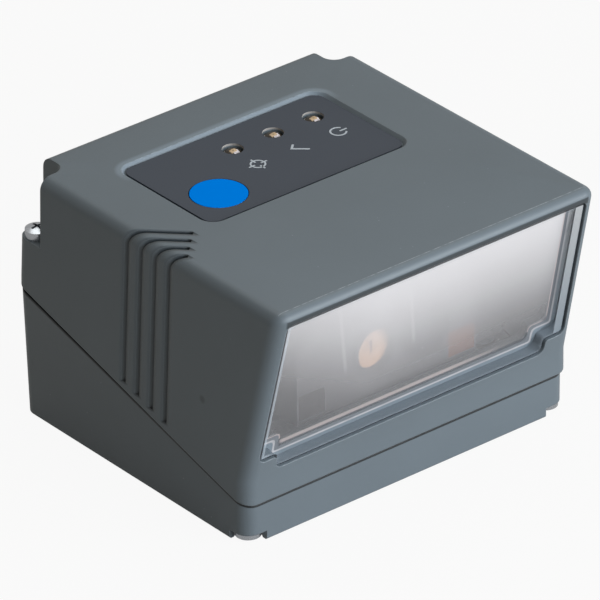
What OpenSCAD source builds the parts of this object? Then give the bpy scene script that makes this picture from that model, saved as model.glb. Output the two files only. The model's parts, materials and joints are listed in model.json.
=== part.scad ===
// Compact fixed-mount barcode scanner: two moulded shells around an imaging engine.
// X runs across the case, +Y runs to the back, +Z is up, and the case stands on Z = 0.
// Depths are measured back from the lower front face, and place() moves them to the origin,
// which is under the middle of the case.

/* [Case] */
// Width of the case at its widest, along the parting line
case_w = 47.5; // [44:0.5:56]
// Depth from the lower front face to the back face
case_d = 41.2; // [40.4:0.2:50]
// Height of the case
case_h = 31.4; // [30.6:0.2:36]
// Reach of the top front edge ahead of the lower front face, before rounding
front_lean = 5.6; // [4:0.2:6.4]
// Height of the upright apron under the window
apron_h = 8.2; // [7.8:0.1:8.8]
// Amount by which each side comes in between the apron and the top
side_draft = 0.7; // [0:0.05:1]
// Amount by which the back comes in between the parting line and the top
back_lean = 0.5; // [0:0.1:0.8]
// Radius of the upright corners
corner_r = 1.8; // [1.6:0.1:2.4]
// Radius of the edges between the top and the sides and back
top_r = 1.5; // [0.8:0.1:1.5]
// Radius of the edge between the front and the top
front_r = 1.0; // [0.8:0.1:1.1]
// Thickness of the side and back walls
wall = 1.8; // [1.6:0.1:2.2]
// Thickness of the top wall under the rim of the panel
top_wall = 1.8; // [1.6:0.1:2.2]
// Thickness of the floor
floor_t = 1.8; // [1.4:0.1:2.2]

/* [Parting line] */
// Height of the parting plane at the lower front face
part_front_z = 5.1; // [4.6:0.1:5.4]
// Height of the parting plane at the back face
part_back_z = 16.4; // [15:0.1:17]
// Width of the shadow groove along the parting line
shadow_w = 0.32; // [0.2:0.02:0.5]
// Depth of the shadow groove
shadow_deep = 0.7; // [0.4:0.05:0.8]
// Amount by which the base stands inside the cover's skin
base_in = 0.2; // [0.1:0.05:0.3]
// Amount by which the sides and front of the base come further in at its foot
base_draft = 0.1; // [0:0.05:0.3]
// Amount by which the back of the base comes further in at its foot
back_draft = 0.6; // [0:0.05:0.7]
// Chamfer round the foot of the base
foot_chamfer = 0.2; // [0.1:0.05:0.5]
// Distance from the outside to the cord seal
seal_in = 1.0; // [0.9:0.05:1.1]
// Width of the cord seal
seal_w = 0.6; // [0.4:0.05:0.7]
// Depth of the cord seal in the base
seal_deep = 0.6; // [0.4:0.05:0.8]

/* [Case screws] */
// Distance of the front screws from the sides
front_screw_side = 2.0; // [2:0.05:2.2]
// Distance of the front screws from the lower front face
front_screw_in = 2.0; // [2:0.05:2.2]
// Distance of the rear screws from the sides
rear_screw_side = 2.05; // [2:0.05:2.3]
// Distance of the rear screws from the back face
rear_screw_in = 2.15; // [2.1:0.05:2.3]
// Shank radius of the case screws
screw_r = 1.0; // [0.8:0.05:1.1]
// Clearance round a screw that passes freely
screw_gap = 0.1; // [0.05:0.05:0.2]
// Head radius of the rear screws
rear_head_r = 1.45; // [1.3:0.05:1.6]
// Head height of the rear screws
rear_head_h = 1.3; // [1:0.1:1.5]
// Head radius of the front screws
front_head_r = 1.5; // [1.3:0.05:1.55]
// Head height of the front screws
front_head_h = 1.2; // [1:0.1:1.4]
// Length of the rear screws under the head
rear_screw_l = 12; // [11:0.5:13]
// Length of the front screws under the head
front_screw_l = 7.5; // [6.5:0.5:7.5]
// Height of the ledges that the rear screws clamp
ear_z = 22.6; // [21:0.1:23.6]
// Clearance between a rear screw's head and the side of its corner pocket
pocket_side_gap = 0.9; // [0.1:0.1:1.1]
// Clearance between a rear screw's head and the front of its corner pocket
pocket_front_gap = 1.1; // [0.1:0.1:1.3]
// Radius of the pockets' inner corner
pocket_r = 1.7; // [1:0.1:1.8]
// Height of the reliefs under the front corners
relief_h = 1.2; // [0.6:0.1:1.2]
// Length of the reliefs along the front
relief_w = 3.3; // [3:0.1:3.6]
// Length of the reliefs along the sides
relief_d = 3.2; // [2.8:0.1:3.4]
// Clearance of the front heads over the standing surface
head_lift = 0.2; // [0.1:0.05:0.4]

/* [Window] */
// Width of the rim beside the window
window_rim = 1.5; // [1.3:0.05:1.8]
// Width of the rim above the window
window_top_rim = 1.4; // [1.4:0.1:2.4]
// Height of the rim over the apron
window_sill = 0.8; // [0.2:0.05:0.9]
// Width of the steps in the lower corners of the window
window_step_w = 2.7; // [2.4:0.1:2.8]
// Height of the steps in the lower corners of the window
window_step_h = 1.85; // [1.8:0.05:2.2]
// Radius of the window's corners
window_corner_r = 1.0; // [0.6:0.1:1.2]
// Thickness of the window
window_t = 1.4; // [1:0.1:1.6]
// Depth of the window's face behind the rim
window_sink = 0.3; // [0.1:0.05:0.4]
// Clearance round the window
window_gap = 0.12; // [0.08:0.02:0.2]
// Width of the ledge behind the window
ledge_w = 1.4; // [1.1:0.1:1.5]
// Thickness of the ledge behind the window
ledge_t = 1.0; // [0.8:0.1:1.4]
// Thickness of the bonding frame on the ledge
bond_t = 0.3; // [0.2:0.05:0.4]

/* [Top panel] */
// Width of the panel's recess
panel_w = 29.4; // [28:0.2:30]
// Depth of the panel's recess, front to back
panel_d = 17.2; // [16.4:0.1:17.6]
// Offset of the panel's centre from the middle of the case
panel_x = -0.6; // [-1.4:0.1:0]
// Distance of the panel's centre from the lower front face
panel_u = 24.4; // [24:0.1:25]
// Radius of the panel's corners
panel_r = 2.0; // [1:0.1:2.6]
// Depth of the panel's recess
panel_deep = 0.5; // [0.4:0.05:0.7]
// Width of the slope round the recess
panel_slope = 0.45; // [0.2:0.05:0.8]
// Thickness of the overlay
overlay_t = 0.25; // [0.15:0.05:0.35]
// Clearance round the overlay
overlay_gap = 0.1; // [0.05:0.05:0.2]

/* [Trigger key] */
// Radius of the key
key_r = 3.3; // [3:0.05:3.6]
// Clearance round the key
key_gap = 0.1; // [0.08:0.02:0.12]
// Offset of the key's centre from the middle of the case
key_x = -9.7; // [-10.2:0.1:-9.4]
// Distance of the key's centre from the lower front face
key_u = 21.3; // [21:0.1:21.8]
// Travel of the key
key_travel = 0.25; // [0.1:0.05:0.3]
// Width of the flange that keeps the key in
key_flange_w = 0.8; // [0.5:0.1:1]
// Thickness of the flange
key_flange_t = 0.6; // [0.4:0.1:0.8]
// Radius of the key's stem
key_stem_r = 1.1; // [0.8:0.1:1.4]

/* [Status lights] */
// Offset of the left light from the middle of the case
light_x = -2.0; // [-2.3:0.05:-1.6]
// Distance between the lights
light_pitch = 5.85; // [5.5:0.05:6]
// Distance of the lights from the lower front face
light_u = 28.3; // [27.8:0.05:28.8]
// Radius of a light
light_r = 1.15; // [0.9:0.05:1.2]
// Clearance round a light
light_gap = 0.1; // [0.05:0.05:0.2]

/* [Side grooves] */
// Number of grooves
groove_count = 4; // [2:1:5]
// Distance of the rearmost groove from the lower front face, on the side
groove_u = 21.6; // [20.4:0.1:22.4]
// Distance between grooves along the side
groove_pitch = 2.45; // [2:0.05:2.8]
// Width across a groove
groove_w = 0.55; // [0.3:0.05:0.7]
// Depth of a groove
groove_deep = 0.5; // [0.3:0.05:0.6]
// Reach of the rearmost groove over the top, measured across the case
groove_reach = 5.9; // [4.6:0.1:6.2]
// Distance between a groove's foot and the parting line
groove_foot = 1.1; // [0.6:0.1:1.4]

/* [Mounting] */
// Distance between the mounting holes across the case
mount_w = 24; // [22:0.5:26]
// Distance between the mounting holes front to back
mount_d = 18; // [17:0.5:20]
// Core radius of the mounting thread
mount_r = 1.25; // [1.2:0.05:1.3]
// Outer radius of a threaded insert
insert_r = 2.1; // [1.9:0.1:2.3]
// Length of a threaded insert
insert_l = 4.4; // [4:0.1:4.6]

/* [Cord inlet] */
// Bore radius of the grommet
inlet_r = 2.5; // [2:0.1:2.8]
// Offset of the inlet from the middle of the case
inlet_x = 8.5; // [7:0.5:9]
// Height of the inlet
inlet_z = 8.6; // [8:0.1:9]
// Rubber round the bore
inlet_wall = 0.9; // [0.7:0.1:1.2]
// Width of the grommet's flanges
inlet_flange_w = 0.9; // [0.6:0.1:1.1]
// Thickness of the grommet's outer flange
inlet_flange_t = 0.8; // [0.6:0.1:0.9]
// Thickness of the grommet's inner flange
inlet_inner_t = 1.0; // [0.8:0.1:1.2]

/* [Boards] */
// Thickness of the circuit boards
board_t = 1.0; // [0.8:0.1:1.2]
// Width of the main board
main_w = 33; // [32:0.5:34]
// Depth of the main board
main_d = 25.6; // [25:0.2:26]
// Height of the main board's underside
main_z = 6.4; // [6.2:0.1:6.6]
// Width of the panel board
panel_board_w = 31; // [30:0.5:32]
// Depth of the panel board
panel_board_d = 14.4; // [14:0.2:15]
// Distance from the cover's underside to the panel board
panel_board_drop = 2.6; // [2.5:0.1:3]

/* [Engine] */
// Width of the engine
engine_w = 26; // [25:0.5:27]
// Depth of the engine's frame
engine_d = 12; // [11.5:0.1:12.5]
// Height of the engine
engine_h = 12; // [11.6:0.1:12.4]
// Distance of the engine's face from the lower front face
engine_u = 3.9; // [3.6:0.1:4.6]
// Height of the plate that carries the engine
bracket_z = 9.0; // [8.9:0.1:9.4]
// Thickness of the plate that carries the engine
bracket_t = 1.0; // [0.8:0.1:1.2]
// Outer radius of the camera barrel
camera_r = 3.4; // [3:0.1:3.6]
// Offset of the camera from the middle of the case
camera_x = 5.6; // [5.4:0.1:6]
// Outer radius of the aimer barrel
aimer_r = 3.0; // [2.8:0.1:3.2]
// Offset of the aimer from the middle of the case
aimer_x = -2.0; // [-2.2:0.1:-1.4]
// Height of the camera and the aimer over the engine's foot
optics_h = 6.0; // [5:0.1:6]
// Radius of the disc in the aimer's mouth
aimer_disc_r = 2.5; // [2:0.1:2.6]
// Distance between the engine's two lamps
lamp_pitch = 21.8; // [21:0.2:22]
// Width of a lamp lens
lamp_w = 3.8; // [3:0.1:4]
// Height of a lamp lens
lamp_h = 3.2; // [2.6:0.1:3.6]

/* [Hidden] */
$fn = 48;

// Colours
shell_colour = [0.41, 0.45, 0.48];
dark_colour = [0.13, 0.14, 0.15];
overlay_colour = [0.29, 0.32, 0.35];
blue_colour = [0.0, 0.46, 0.84];
steel_colour = [0.75, 0.77, 0.8];
brass_colour = [0.8, 0.65, 0.35];
board_colour = [0.08, 0.3, 0.2];
chip_colour = [0.2, 0.2, 0.22];
capacitor_colour = [0.55, 0.56, 0.58];
ribbon_colour = [0.75, 0.5, 0.15];
socket_colour = [0.88, 0.86, 0.78];
disc_colour = [0.85, 0.65, 0.5];
lamp_colour = [0.9, 0.6, 0.2];
glass_colour = [0.8, 0.85, 0.9, 0.4];

// Small overlap for joined shapes, and a length past everything
lap = 0.01;
far = 100;

// Lean of the front, rounded into the top edge
lean_a = atan(front_lean / (case_h - apron_h));
nose_u = (front_r - sin(lean_a) * (case_h - front_r - apron_h)) / cos(lean_a);
nose_foot_z = case_h - front_r * (1 + sin(lean_a));
front_reach = front_r - nose_u;
front_y = front_reach - (case_d + front_reach) / 2;
corner_steps = 8;
arc_steps = [0 : 11.25 : 90];
part_slope = (part_back_z - part_front_z) / case_d;
part_a = atan(part_slope);
part_cover = 1;
back_foot_z = part_back_z + part_cover;

// Case screws, the columns round them and the seal that passes inside them
front_x = case_w / 2 - front_screw_side;
rear_x = case_w / 2 - rear_screw_side;
rear_u = case_d - rear_screw_in;
front_spots = [[-front_x, front_screw_in], [front_x, front_screw_in]];
rear_spots = [[-rear_x, rear_u], [rear_x, rear_u]];
front_seat_z = head_lift + front_head_h;
screw_hole_r = screw_r + screw_gap;
seal_ring_r = screw_hole_r + 0.5;
column_r = seal_ring_r + seal_w + 0.5;
tip_gap = 0.3;
front_column_h = front_seat_z + front_screw_l + tip_gap + 0.9;
pocket_wall = 1.4;
pocket_w = rear_screw_side + rear_head_r + pocket_side_gap;
pocket_d = rear_screw_in + rear_head_r + pocket_front_gap;
least_r = 0.5;

// Window and top panel
window_inner_r = 0.5;
window_depth = window_sink + window_t + bond_t;
front_wall = window_depth + ledge_t;
inner_x = case_w / 2 - side_draft - wall;
roof_z = case_h - top_wall;
panel_floor_z = case_h - panel_deep;
overlay_z = panel_floor_z + overlay_t;

// Small screws, their posts and the length of screw in each post
small_r = 0.7;
small_gap = 0.1;
small_head_r = 1.3;
small_head_h = 0.9;
small_slot_w = 0.36;
post_r = 1.8;
tap_gap = 0.6;
main_tap_l = 3.4;
post_tap_l = 4.4;
engine_tap_l = 2.4;

// Mounting inserts in their bosses
insert_lift = 0.1;
insert_cap = 0.8;
boss_wall = 1.2;
mount_u = case_d / 2;
mount_spots = [for (x = [-1, 1], y = [-1, 1]) [x * mount_w / 2, mount_u + y * mount_d / 2]];

// Cord inlet in the back of the base
inlet_boss_t = 1.2;
inlet_boss_rim = 0.6;
inlet_face_u = case_d - base_in - back_draft;
inlet_inner_u = case_d - wall - inlet_boss_t;
inlet_neck_r = inlet_r + inlet_wall;
inlet_flange_r = inlet_neck_r + inlet_flange_w;

// Main board and the pieces on it, in rows measured from the middle of the board
board_corner_r = 1;
board_top = main_z + board_t;
board_back_gap = 0.4;
main_u = inlet_inner_u - inlet_inner_t - board_back_gap - main_d / 2;
main_post_in = 2;
main_post_front = 6.5;
main_post_x = main_w / 2 - main_post_in;
main_post_u = [main_u - main_d / 2 + main_post_front, main_u + main_d / 2 - main_post_in];
processor_w = 8;
processor_t = 1.2;
processor_x = -6.5;
chip_row = 3.2;
memory_w = 6;
memory_d = 3.2;
memory_t = 1;
memory_x = 4;
coil_r = 1.9;
coil_h = 2.2;
coil_x = -13.4;
coil_row = -1.2;
capacitor_r = 1.4;
capacitor_h = 1.3;
capacitor_x = -9.5;
capacitor_pitch = 4.2;
capacitor_row = 2.6 - main_d / 2;
beeper_r = 3.5;
beeper_h = 2.4;
beeper_x = 10.2;
beeper_row = -1.8;
beeper_port_r = 0.7;
beeper_port_deep = 0.8;
header_w = 8;
header_d = 4.6;
header_h = 3.4;
header_wall = 0.6;
header_u = main_u + main_d / 2 - header_d;

// Panel board, its posts, and the switch and lights on it
panel_board_z = roof_z - panel_board_drop;
panel_board_under = panel_board_z - board_t;
panel_board_shift = 0.6;
panel_board_u = panel_u + panel_board_shift;
panel_post = [[-13.6, 4.6], [12.4, -4.6]];
switch_w = 4.5;
switch_h = 1.3;
switch_corner_r = 0.4;
switch_floor_t = 0.2;
switch_top = panel_board_z + switch_h;
plunger_r = 0.9;
plunger_gap = 0.1;
plunger_lift = 0.35;
plunger_hold = 0.3;
plunger_top = switch_top + plunger_lift;
plunger_foot = switch_top - key_travel - plunger_hold;
light_foot_w = 0.3;
light_foot_t = 0.8;
light_sink = 0.05;

// Engine and the plate under it
engine_z = bracket_z + bracket_t;
engine_back_u = engine_u + engine_d;
engine_chamfer = 4;
engine_screw_x = 7.5;
optics_z = engine_z + optics_h;
bracket_post_in = 3;
bracket_post_x = inner_x - bracket_post_in;
bracket_post_back = 5.6;
bracket_post_u = engine_u + bracket_post_back;
bracket_post_r = 1.9;
bracket_w = engine_w - 2;
bracket_ear = 3.6;
bracket_ear_d = 6;
bracket_corner_r = 1.2;
barrel_out = 0.5;
camera_l = 8;
camera_bore = camera_r - 0.8;
camera_stop_r = 1.1;
hood_taper = 0.7;
front_lens_in = 0.3;
front_lens_t = 1.6;
rear_lens_in = 4.5;
rear_lens_t = 1.8;
sensor_w = 6.4;
sensor_h = 5.2;
sensor_t = 1.0;
sensor_bay_w = sensor_w + 1;
sensor_bay_h = sensor_h + 1;
sensor_bay_d = 2;
sensor_board_lift = 0.6;
sensor_board_in = 2;
sensor_board_rise = 1.8;
sensor_board_w = engine_w - 2 * sensor_board_in;
sensor_board_h = engine_h - 2 * sensor_board_rise;
sensor_board_back_u = engine_back_u + board_t;
aimer_l = 7;
aimer_disc_in = 0.4;
aimer_disc_t = 0.8;
aimer_stop_r = 0.9;
slit_w = 0.32;
slit_h = 1.6;
emitter_r = 1.5;
emitter_in = 3;
emitter_gap = 0.8;
lamp_z = engine_z + 2.2;
lamp_lens_t = 1.2;
lamp_bay_d = 1.2;
lamp_chip_w = 2.4;
lamp_chip_t = 0.8;

// Ribbons and their sockets
flex_t = 0.2;
flex_w = 7;
socket_rim = 0.6;
socket_w = flex_w + 2 * socket_rim;
socket_d = 3;
socket_h = 1.2;
socket_top = board_top + socket_h;
engine_bend_r = 1.0;
engine_flex_rise = 5;
engine_socket_gap = 4;
engine_socket_u = sensor_board_back_u + engine_socket_gap;
panel_flex_x = -6;
panel_flex_lap = 3;
panel_bend_r = 1.2;
panel_flex_in = 1.2;
panel_flex_u = case_d - wall - panel_flex_in;
panel_socket_u = panel_flex_u - 4.4;

// Half width of the case lost to draft at height z
function side_in(z) = side_draft * max(0, z - apron_h) / (case_h - apron_h);
// Depth of the leaning front plane at height z
function lean_u(z) = -front_lean * max(0, z - apron_h) / (case_h - apron_h);
// Amount by which the back comes in at height z
function back_in(z) = back_lean * max(0, z - back_foot_z) / (case_h - back_foot_z);
// Depth of the front at height z, with the edge over it rounded
function front_u(z) = z < nose_foot_z ? lean_u(z)
    : nose_u - sqrt(max(0, front_r * front_r - (z - case_h + front_r) * (z - case_h + front_r)));
// Height of the parting plane at depth u
function part_z(u) = part_front_z + part_slope * u;

module place() translate([0, front_y, 0]) children();

// Frame of the window plane: X across, Z up the slope, +Y into the case
module on_window() translate([0, 0, apron_h]) rotate([lean_a, 0, 0]) children();

module round_rect(w, d, r) {
    square([w - 2 * r, d], center = true);
    square([w, d - 2 * r], center = true);
    for (x = [-1, 1], y = [-1, 1])
        translate([x * (w / 2 - r), y * (d / 2 - r)]) circle(r);
}

// Outline of the case at height z: a rectangle with rounded corners, run counter-clockwise
function outline(z, inset, front, back, r) = [
    for (corner = [0 : 3], i = [0 : corner_steps])
        let (a = 90 * (corner + i / corner_steps),
             x = (corner == 0 || corner == 3 ? 1 : -1) * (case_w / 2 - inset - r),
             u = corner < 2 ? case_d - back - r : front + r)
        [x + r * cos(a), u + r * sin(a), z]
];

// Solid that runs through a stack of outlines, from the lowest to the highest
module loft(outlines) {
    n = len(outlines[0]);
    top = len(outlines) - 1;
    polyhedron(
        points = [for (ring = outlines) each ring],
        faces = concat(
            [[for (i = [0 : n - 1]) i], [for (i = [n - 1 : -1 : 0]) top * n + i]],
            [for (k = [0 : top - 1], i = [0 : n - 1])
                let (next = (i + 1) % n)
                [k * n + i, (k + 1) * n + i, (k + 1) * n + next, k * n + next]]));
}

// Outer form of the cover, shrunk by g on every face: upright over the apron, then leaning forward
module cover_form(g = 0)
    loft(concat(
        [for (z = [0, apron_h, back_foot_z])
            outline(z, side_in(z) + g, lean_u(z) + g / cos(lean_a), g, corner_r - g)],
        [for (a = arc_steps)
            let (z = case_h - top_r + (top_r - g) * sin(a), turn = top_r - (top_r - g) * cos(a))
            outline(z, side_in(z) + turn, front_u(z) + g / cos(lean_a), back_in(z) + turn,
                corner_r - turn)]));

// Outer form of the base, which stands a little inside the cover's skin
module base_form()
    loft(concat(
        [for (turn = [foot_chamfer, 0])
            let (inset = base_in + base_draft + turn, back = base_in + back_draft + turn)
            outline(foot_chamfer - turn, inset, inset, back, corner_r - turn)],
        [outline(back_foot_z, base_in, base_in, base_in, corner_r)]));

module above_parting(up = 0)
    translate([0, 0, part_front_z + up]) rotate([part_a, 0, 0])
        translate([-far / 2, -far / 2, 0]) cube(far);

module below_parting(down = 0)
    translate([0, 0, part_front_z - down]) rotate([part_a, 0, 0])
        translate([-far / 2, -far / 2, -far]) cube(far);

// Plan of the case at inset g, going round the four screws on the inside
module plan_region(g)
    difference() {
        translate([0, case_d / 2]) round_rect(case_w - 2 * g, case_d - 2 * g, max(corner_r - g, least_r));
        for (spot = concat(front_spots, rear_spots))
            translate(spot) circle(seal_ring_r + g - seal_in);
    }

// Shadow groove that runs round the parting line
module shadow_cut()
    difference() {
        intersection() {
            above_parting(-shadow_w / 2);
            below_parting(-shadow_w / 2);
            translate([-far / 2, -far / 2, 0]) cube(far);
        }
        translate([0, case_d / 2, -lap])
            linear_extrude(far) round_rect(case_w - 2 * shadow_deep, case_d - 2 * shadow_deep,
                corner_r - shadow_deep);
    }

// Outline of the window on its plane, grown by g
module window_outline(g = 0) {
    foot = case_w / 2 - window_rim;
    head = foot - side_in(case_h - window_top_rim);
    low = window_sill;
    high = (case_h - window_top_rim - apron_h) / cos(lean_a);
    offset(r = -window_inner_r, $fn = 32) offset(r = window_corner_r + window_inner_r, $fn = 32)
        offset(delta = g - window_corner_r)
            polygon([
                [window_step_w - foot, low], [foot - window_step_w, low],
                [foot - window_step_w, low + window_step_h], [foot, low + window_step_h],
                [head, high], [-head, high],
                [-foot, low + window_step_h], [window_step_w - foot, low + window_step_h]
            ]);
}

// A layer of the given outline growth that starts at depth y behind the window plane
module window_layer(y, t, g = 0)
    on_window() translate([0, y + t, 0]) rotate([90, 0, 0]) linear_extrude(t) window_outline(g);

// Hollow of the cover
module cover_hollow() {
    back = case_d - wall;
    inner_front = front_wall / cos(lean_a);
    difference() {
        translate([-inner_x, 0, 0]) rotate([90, 0, 90]) linear_extrude(2 * inner_x)
            polygon([
                [front_wall, 0], [back, 0], [back, back_foot_z], [back - back_in(roof_z), roof_z],
                [lean_u(roof_z) + inner_front, roof_z], [inner_front, apron_h]
            ]);
        for (spot = front_spots)
            translate([spot[0], spot[1], -lap]) cylinder(r = column_r, h = front_column_h + lap);
        for (turn = [0, 1])
            mirror([turn, 0, 0]) translate([0, 0, -lap]) linear_extrude(far) pocket_plan(pocket_wall);
    }
}

// Plan of the open pocket in the right rear corner, grown inwards by g
module pocket_plan(g = 0) {
    edge = case_w / 2 - pocket_w - g;
    front = case_d - pocket_d - g;
    round = pocket_r + g;
    translate([edge + round, front]) square([far, far]);
    translate([edge, front + round]) square([far, far]);
    translate([edge + round, front + round]) circle(round);
}

// One groove that climbs the left side and turns inwards over the top
module groove(i) {
    u = groove_u - i * groove_pitch;
    reach = (groove_reach - i * groove_pitch / 2) * sqrt(2);
    translate([-case_w / 2, u, part_z(u) + groove_foot]) rotate([0, 0, -45])
        translate([-1, -groove_w / 2, 0]) cube([1 + reach, groove_w, far]);
}

module grooves()
    difference() {
        for (i = [0 : groove_count - 1]) groove(i);
        cover_form(groove_deep);
    }

module panel_recess()
    translate([panel_x, panel_u, panel_floor_z]) hull() {
        linear_extrude(lap)
            round_rect(panel_w - 2 * panel_slope, panel_d - 2 * panel_slope, panel_r - panel_slope);
        translate([0, 0, panel_deep]) linear_extrude(lap) round_rect(panel_w, panel_d, panel_r);
    }

module panel_holes(h) {
    translate([key_x, key_u, -lap]) cylinder(r = key_r + key_gap, h = h);
    for (i = [0 : 2])
        translate([light_x + i * light_pitch, light_u, -lap]) cylinder(r = light_r + light_gap, h = h);
}

module panel_posts(r, h)
    for (p = panel_post) translate([panel_x + p[0], panel_u + p[1], 0]) cylinder(r = r, h = h);

module top_cover() color(shell_colour) place() {
    difference() {
        intersection() {
            cover_form();
            above_parting();
        }
        cover_hollow();
        shadow_cut();
        for (turn = [0, 1])
            mirror([turn, 0, 0]) translate([0, 0, ear_z]) linear_extrude(far) pocket_plan();
        for (spot = rear_spots)
            translate(spot) cylinder(r = screw_hole_r, h = far);
        for (spot = front_spots)
            translate(spot) cylinder(r = screw_r, h = front_seat_z + front_screw_l + tip_gap);
        window_layer(-1, 1 + window_depth);
        window_layer(0, front_wall + 1, -ledge_w);
        grooves();
        panel_recess();
        translate([0, 0, roof_z]) panel_holes(far);
    }
    difference() {
        translate([0, 0, panel_board_z]) panel_posts(post_r, panel_board_drop + lap);
        translate([0, 0, panel_board_z - lap]) panel_posts(small_r, panel_board_drop);
    }
}

module base_posts() {
    for (x = [-main_post_x, main_post_x], u = main_post_u)
        translate([x, u, 0]) cylinder(r = post_r, h = main_z);
    for (x = [-bracket_post_x, bracket_post_x])
        translate([x, bracket_post_u, 0]) cylinder(r = bracket_post_r, h = bracket_z);
    for (spot = mount_spots)
        translate(spot) cylinder(r = insert_r + boss_wall, h = insert_lift + insert_l + insert_cap);
    translate([inlet_x, inlet_inner_u, inlet_z]) rotate([-90, 0, 0])
        cylinder(r = inlet_flange_r + inlet_boss_rim, h = inlet_boss_t + wall / 2);
}

module base_holes() {
    for (x = [-main_post_x, main_post_x], u = main_post_u)
        translate([x, u, main_z - main_tap_l - tap_gap]) cylinder(r = small_r, h = far);
    for (x = [-bracket_post_x, bracket_post_x])
        translate([x, bracket_post_u, bracket_z - post_tap_l - tap_gap]) cylinder(r = small_r, h = far);
    for (spot = mount_spots)
        translate([spot[0], spot[1], -lap]) cylinder(r = insert_r, h = insert_lift + insert_l + lap);
    for (spot = rear_spots)
        translate([spot[0], spot[1], ear_z - rear_screw_l - tip_gap]) cylinder(r = screw_r, h = far);
    for (spot = front_spots) {
        translate([spot[0], spot[1], -lap]) cylinder(r = screw_hole_r, h = far);
        translate([spot[0], spot[1], -lap]) cylinder(r = front_head_r + screw_gap, h = front_seat_z + lap);
    }
    for (x = [-case_w / 2 - 1, case_w / 2 - relief_w])
        translate([x, -1, -lap]) cube([relief_w + 1, relief_d + 1, relief_h + lap]);
    translate([inlet_x, inlet_inner_u - 1, inlet_z]) rotate([-90, 0, 0])
        cylinder(r = inlet_neck_r, h = far);
    translate([inlet_x, inlet_face_u - inlet_flange_t, inlet_z]) rotate([-90, 0, 0])
        cylinder(r = inlet_flange_r, h = far);
}

module base_shell() color(shell_colour) place()
    difference() {
        union() {
            difference() {
                intersection() {
                    base_form();
                    below_parting();
                }
                translate([0, 0, floor_t]) linear_extrude(far) plan_region(wall + base_in);
            }
            intersection() {
                base_posts();
                base_form();
            }
        }
        base_holes();
        shadow_cut();
        intersection() {
            above_parting(-seal_deep);
            linear_extrude(far) seal_ring();
        }
    }

module seal_ring()
    difference() {
        plan_region(seal_in);
        plan_region(seal_in + seal_w);
    }

module case_seal() color(dark_colour) place()
    intersection() {
        above_parting(-seal_deep);
        below_parting();
        linear_extrude(far) seal_ring();
    }

// Round head with a domed top and a cross recess, on a plain shank of length l
module pan_screw(r, l, head_r, head_h) {
    dome_r = 2.2 * head_r;
    arm_l = 1.1 * head_r;
    arm_w = 0.24 * head_r;
    translate([0, 0, -l]) cylinder(r = r, h = l + lap);
    difference() {
        intersection() {
            cylinder(r = head_r, h = head_h);
            translate([0, 0, head_h - dome_r]) sphere(dome_r);
        }
        for (a = [0, 90])
            rotate([0, 0, a]) translate([-arm_l / 2, -arm_w / 2, head_h / 2]) cube([arm_l, arm_w, head_h]);
    }
}

// Slotted screw that holds a board or the engine, with l of its shank under the head
module small_screw(l) {
    translate([0, 0, -l]) cylinder(r = small_r, h = l + lap);
    difference() {
        cylinder(r = small_head_r, h = small_head_h);
        translate([-small_head_r, -small_slot_w / 2, small_head_h / 2])
            cube([2 * small_head_r, small_slot_w, small_head_h]);
    }
}

module rear_screws() color(steel_colour) place()
    for (spot = rear_spots)
        translate([spot[0], spot[1], ear_z]) pan_screw(screw_r, rear_screw_l, rear_head_r, rear_head_h);

module front_screws() color(steel_colour) place()
    for (spot = front_spots)
        translate([spot[0], spot[1], front_seat_z]) rotate([180, 0, 0])
            pan_screw(screw_r, front_screw_l, front_head_r, front_head_h);

module window() color(glass_colour) place()
    window_layer(window_sink, window_t, -window_gap);

module window_bond() color(dark_colour) place()
    difference() {
        window_layer(window_sink + window_t, bond_t, -window_gap);
        window_layer(window_sink + window_t - lap, bond_t + 2 * lap, -ledge_w);
    }

module panel_overlay() color(overlay_colour) place()
    difference() {
        translate([panel_x, panel_u, panel_floor_z]) linear_extrude(overlay_t)
            round_rect(panel_w - 2 * (panel_slope + overlay_gap), panel_d - 2 * (panel_slope + overlay_gap),
                panel_r - panel_slope - overlay_gap);
        translate([0, 0, panel_floor_z]) panel_holes(far);
    }

// Key with a flange under the cover and a stem that stands on the switch
module trigger_key() color(blue_colour) place() translate([key_x, key_u, 0]) {
    translate([0, 0, roof_z - lap]) cylinder(r = key_r, h = overlay_z - roof_z + lap);
    translate([0, 0, roof_z - key_flange_t]) cylinder(r = key_r + key_flange_w, h = key_flange_t);
    translate([0, 0, plunger_top]) cylinder(r = key_stem_r, h = roof_z - plunger_top - lap);
}

module switch_plunger() color(dark_colour) place()
    translate([key_x, key_u, plunger_foot]) cylinder(r = plunger_r, h = plunger_top - plunger_foot);

module switch_body() color(steel_colour) place() translate([key_x, key_u, panel_board_z])
    difference() {
        linear_extrude(switch_h) round_rect(switch_w, switch_w, switch_corner_r);
        translate([0, 0, switch_floor_t]) cylinder(r = plunger_r + plunger_gap, h = far);
    }

// Domed light guide with a foot on the panel board
module status_light(i) color(glass_colour) place()
    translate([light_x + i * light_pitch, light_u, panel_board_z]) {
        dome_r = 1.25 * light_r;
        neck = overlay_z - panel_board_z - light_sink - light_r / 2;
        cylinder(r = light_r + light_foot_w, h = light_foot_t);
        cylinder(r = light_r, h = neck);
        translate([0, 0, neck - lap]) intersection() {
            cylinder(r = light_r, h = light_r);
            translate([0, 0, light_r / 2 - dome_r]) sphere(dome_r);
        }
    }
module status_light_left() status_light(0);
module status_light_middle() status_light(1);
module status_light_right() status_light(2);

module panel_board() color(board_colour) place()
    difference() {
        translate([panel_x, panel_board_u, panel_board_z - board_t]) linear_extrude(board_t)
            round_rect(panel_board_w, panel_board_d, board_corner_r);
        translate([0, 0, panel_board_z - board_t - lap])
            panel_posts(small_r + small_gap, board_t + 2 * lap);
    }

module panel_board_screws() color(steel_colour) place()
    for (p = panel_post)
        translate([panel_x + p[0], panel_u + p[1], panel_board_z - board_t]) rotate([180, 0, 0])
            small_screw(board_t + panel_board_drop - tap_gap);

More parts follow.
